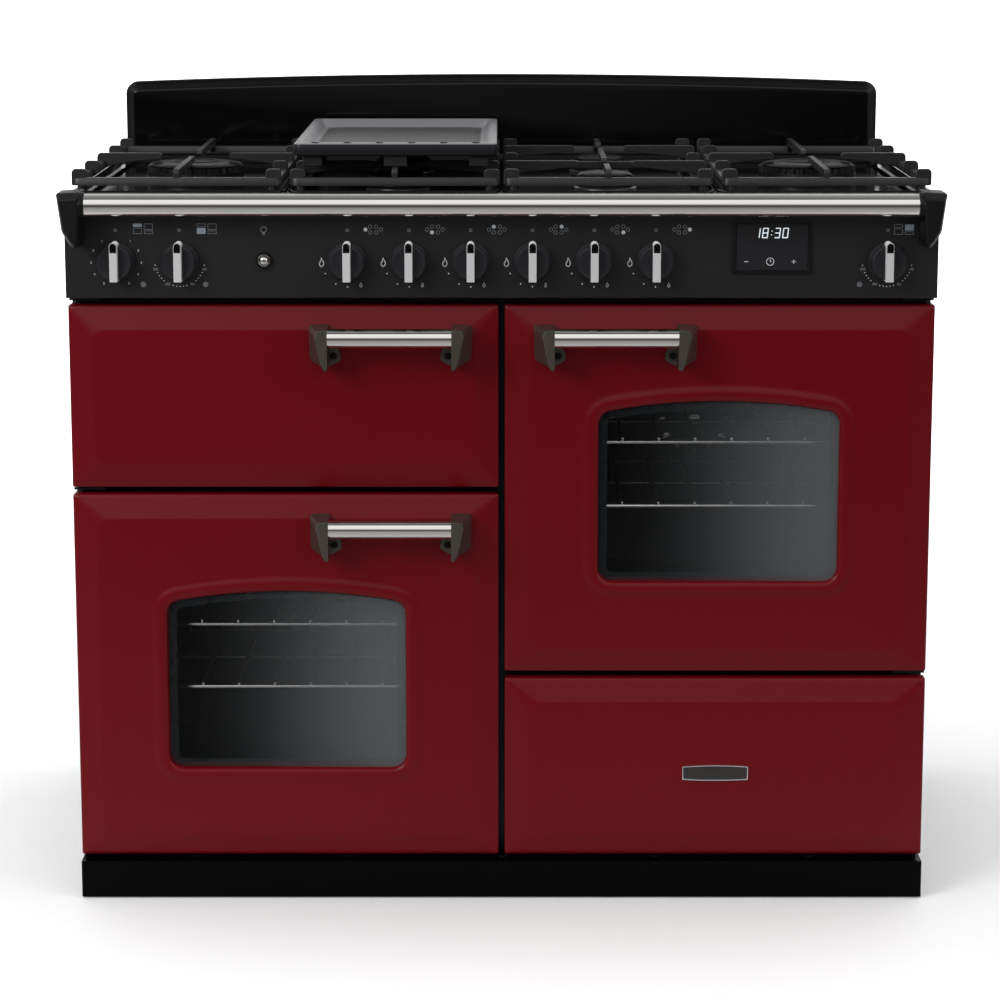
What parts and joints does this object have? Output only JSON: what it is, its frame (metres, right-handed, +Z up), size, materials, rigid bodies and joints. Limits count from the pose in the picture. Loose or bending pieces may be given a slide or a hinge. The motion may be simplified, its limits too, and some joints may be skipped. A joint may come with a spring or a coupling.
{
  "type": "freestanding gas range",
  "caption": "Wide range cooker: side-hinged ovens and grill, storage drawer, gas hob with cast pan supports, griddle, towel rail and upstand.",
  "frame": {"origin": "on the floor, under the centre of the bounding box", "axes": "+X to the right seen from the front, +Y to the back, +Z up; the doors face -Y"},
  "size_m": [1.099, 0.668, 1.0329],
  "materials": {
    "black_enamel": "gloss vitreous enamel",
    "fascia_black": "semi-gloss",
    "panel_black": "satin powder coat",
    "red_enamel": "satin paint",
    "inner_enamel": "semi-gloss enamel",
    "galvanised": "galvanised sheet",
    "steel_wire": "bright wire",
    "chrome": "polished",
    "bracket_metal": "dark satin",
    "black_plastic": "satin",
    "gloss_black": "gloss",
    "cast_iron": "matt enamelled casting",
    "griddle_metal": "satin casting",
    "burner_brass": "worn satin",
    "tap_brass": "machined",
    "pipe_steel": "drawn tube",
    "element": "heat-dulled sheath",
    "oven_glass": "tinted",
    "motor_steel": "zinc plated",
    "fan_steel": "stamped sheet"
  },
  "bodies": {
    "cabinet": {"base_frame": "galvanised", "levelling_feet": "galvanised", "plinth": "panel_black", "left_side_panel": "panel_black", "right_side_panel": "panel_black", "rear_cover": "galvanised", "centre_panel": "galvanised", "front_frame": "inner_enamel", "left_oven_liner": "inner_enamel", "right_oven_liner": "inner_enamel", "grill_liner": "inner_enamel", "oven_shelves": "steel_wire", "fan_covers": "inner_enamel", "fan_motors": "motor_steel", "grill_element": "element", "grill_pan": "inner_enamel", "drawer_runners": "galvanised", "hinge_brackets": "galvanised", "control_panel": "fascia_black", "clock_module": "gloss_black", "light_switch": "chrome", "hob_top": "black_enamel", "backguard": "black_enamel", "hand_rail": "chrome", "hand_rail_brackets": "black_plastic", "burner_heads": "burner_brass", "burner_caps": "black_enamel", "gas_manifold": "pipe_steel", "gas_taps": "tap_brass"},
    "grill_door": {"grill_door_skin": "red_enamel", "grill_door_liner": "inner_enamel", "grill_door_handle": "bracket_metal"},
    "left_door": {"left_door_skin": "red_enamel", "left_door_liner": "inner_enamel", "left_door_glass": "oven_glass", "left_door_handle": "bracket_metal"},
    "right_door": {"right_door_skin": "red_enamel", "right_door_liner": "inner_enamel", "right_door_glass": "oven_glass", "right_door_handle": "bracket_metal"},
    "drawer": {"drawer_front": "red_enamel", "drawer_box": "galvanised", "drawer_badge": "chrome"},
    "grill_knob_body": {"grill_knob": "gloss_black"},
    "left_oven_knob_body": {"left_oven_knob": "gloss_black"},
    "hob_knob_1_body": {"hob_knob_1": "gloss_black"},
    "hob_knob_2_body": {"hob_knob_2": "gloss_black"},
    "hob_knob_3_body": {"hob_knob_3": "gloss_black"},
    "hob_knob_4_body": {"hob_knob_4": "gloss_black"},
    "hob_knob_5_body": {"hob_knob_5": "gloss_black"},
    "hob_knob_6_body": {"hob_knob_6": "gloss_black"},
    "right_oven_knob_body": {"right_oven_knob": "gloss_black"},
    "light_button_body": {"light_button": "chrome"},
    "left_fan": {"left_oven_fan": "fan_steel"},
    "right_fan": {"right_oven_fan": "fan_steel"},
    "support_1": {"pan_support_1": "cast_iron"},
    "support_2": {"pan_support_2": "cast_iron"},
    "support_3": {"pan_support_3": "cast_iron"},
    "support_4": {"pan_support_4": "cast_iron"},
    "griddle_plate": {"griddle": "griddle_metal"}
  },
  "joints": [
    {"name": "grill_door_hinge", "type": "hinge", "parent": "cabinet", "child": "grill_door", "pos_m": [-0.537, -0.244, 0.66], "axis": [0, 0, -1], "range_deg": [0, 100]},
    {"name": "left_door_hinge", "type": "hinge", "parent": "cabinet", "child": "left_door", "pos_m": [-0.537, -0.244, 0.3], "axis": [0, 0, -1], "range_deg": [0, 100]},
    {"name": "right_door_hinge", "type": "hinge", "parent": "cabinet", "child": "right_door", "pos_m": [0.537, -0.244, 0.54], "axis": [0, 0, 1], "range_deg": [0, 100]},
    {"name": "drawer_slide", "type": "slide", "parent": "cabinet", "child": "drawer", "axis": [0, -1, 0], "range_m": [0, 0.35]},
    {"name": "grill_knob_turn", "type": "hinge", "parent": "cabinet", "child": "grill_knob_body", "pos_m": [-0.482, -0.29, 0.835], "axis": [0, -1, 0], "range_deg": [-290, 0]},
    {"name": "left_oven_knob_turn", "type": "hinge", "parent": "cabinet", "child": "left_oven_knob_body", "pos_m": [-0.4025, -0.29, 0.835], "axis": [0, -1, 0], "range_deg": [-290, 0]},
    {"name": "hob_knob_1_turn", "type": "hinge", "parent": "cabinet", "child": "hob_knob_1_body", "pos_m": [-0.19275, -0.29, 0.835], "axis": [0, -1, 0], "range_deg": [0, 210]},
    {"name": "hob_knob_2_turn", "type": "hinge", "parent": "cabinet", "child": "hob_knob_2_body", "pos_m": [-0.11565, -0.29, 0.835], "axis": [0, -1, 0], "range_deg": [0, 210]},
    {"name": "hob_knob_3_turn", "type": "hinge", "parent": "cabinet", "child": "hob_knob_3_body", "pos_m": [-0.03855, -0.29, 0.835], "axis": [0, -1, 0], "range_deg": [0, 210]},
    {"name": "hob_knob_4_turn", "type": "hinge", "parent": "cabinet", "child": "hob_knob_4_body", "pos_m": [0.03855, -0.29, 0.835], "axis": [0, -1, 0], "range_deg": [0, 210]},
    {"name": "hob_knob_5_turn", "type": "hinge", "parent": "cabinet", "child": "hob_knob_5_body", "pos_m": [0.11565, -0.29, 0.835], "axis": [0, -1, 0], "range_deg": [0, 210]},
    {"name": "hob_knob_6_turn", "type": "hinge", "parent": "cabinet", "child": "hob_knob_6_body", "pos_m": [0.19275, -0.29, 0.835], "axis": [0, -1, 0], "range_deg": [0, 210]},
    {"name": "right_oven_knob_turn", "type": "hinge", "parent": "cabinet", "child": "right_oven_knob_body", "pos_m": [0.482, -0.29, 0.835], "axis": [0, -1, 0], "range_deg": [-290, 0]},
    {"name": "light_button_push", "type": "slide", "parent": "cabinet", "child": "light_button_body", "axis": [0, 1, 0], "range_m": [0, 0.004], "stiffness_N_per_m": 800},
    {"name": "left_fan_spin", "type": "hinge", "parent": "cabinet", "child": "left_fan", "pos_m": [-0.275, 0.19, 0.3], "axis": [0, -1, 0], "continuous": true},
    {"name": "right_fan_spin", "type": "hinge", "parent": "cabinet", "child": "right_fan", "pos_m": [0.275, 0.19, 0.55], "axis": [0, -1, 0], "continuous": true},
    {"name": "support_1_lift", "type": "slide", "parent": "cabinet", "child": "support_1", "axis": [0, 0, 1], "range_m": [0, 0.08]},
    {"name": "support_2_lift", "type": "slide", "parent": "cabinet", "child": "support_2", "axis": [0, 0, 1], "range_m": [0, 0.08]},
    {"name": "support_3_lift", "type": "slide", "parent": "cabinet", "child": "support_3", "axis": [0, 0, 1], "range_m": [0, 0.08]},
    {"name": "support_4_lift", "type": "slide", "parent": "cabinet", "child": "support_4", "axis": [0, 0, 1], "range_m": [0, 0.08]},
    {"name": "griddle_lift", "type": "slide", "parent": "support_2", "child": "griddle_plate", "axis": [0, 0, 1], "range_m": [0, 0.1]}
  ]
}
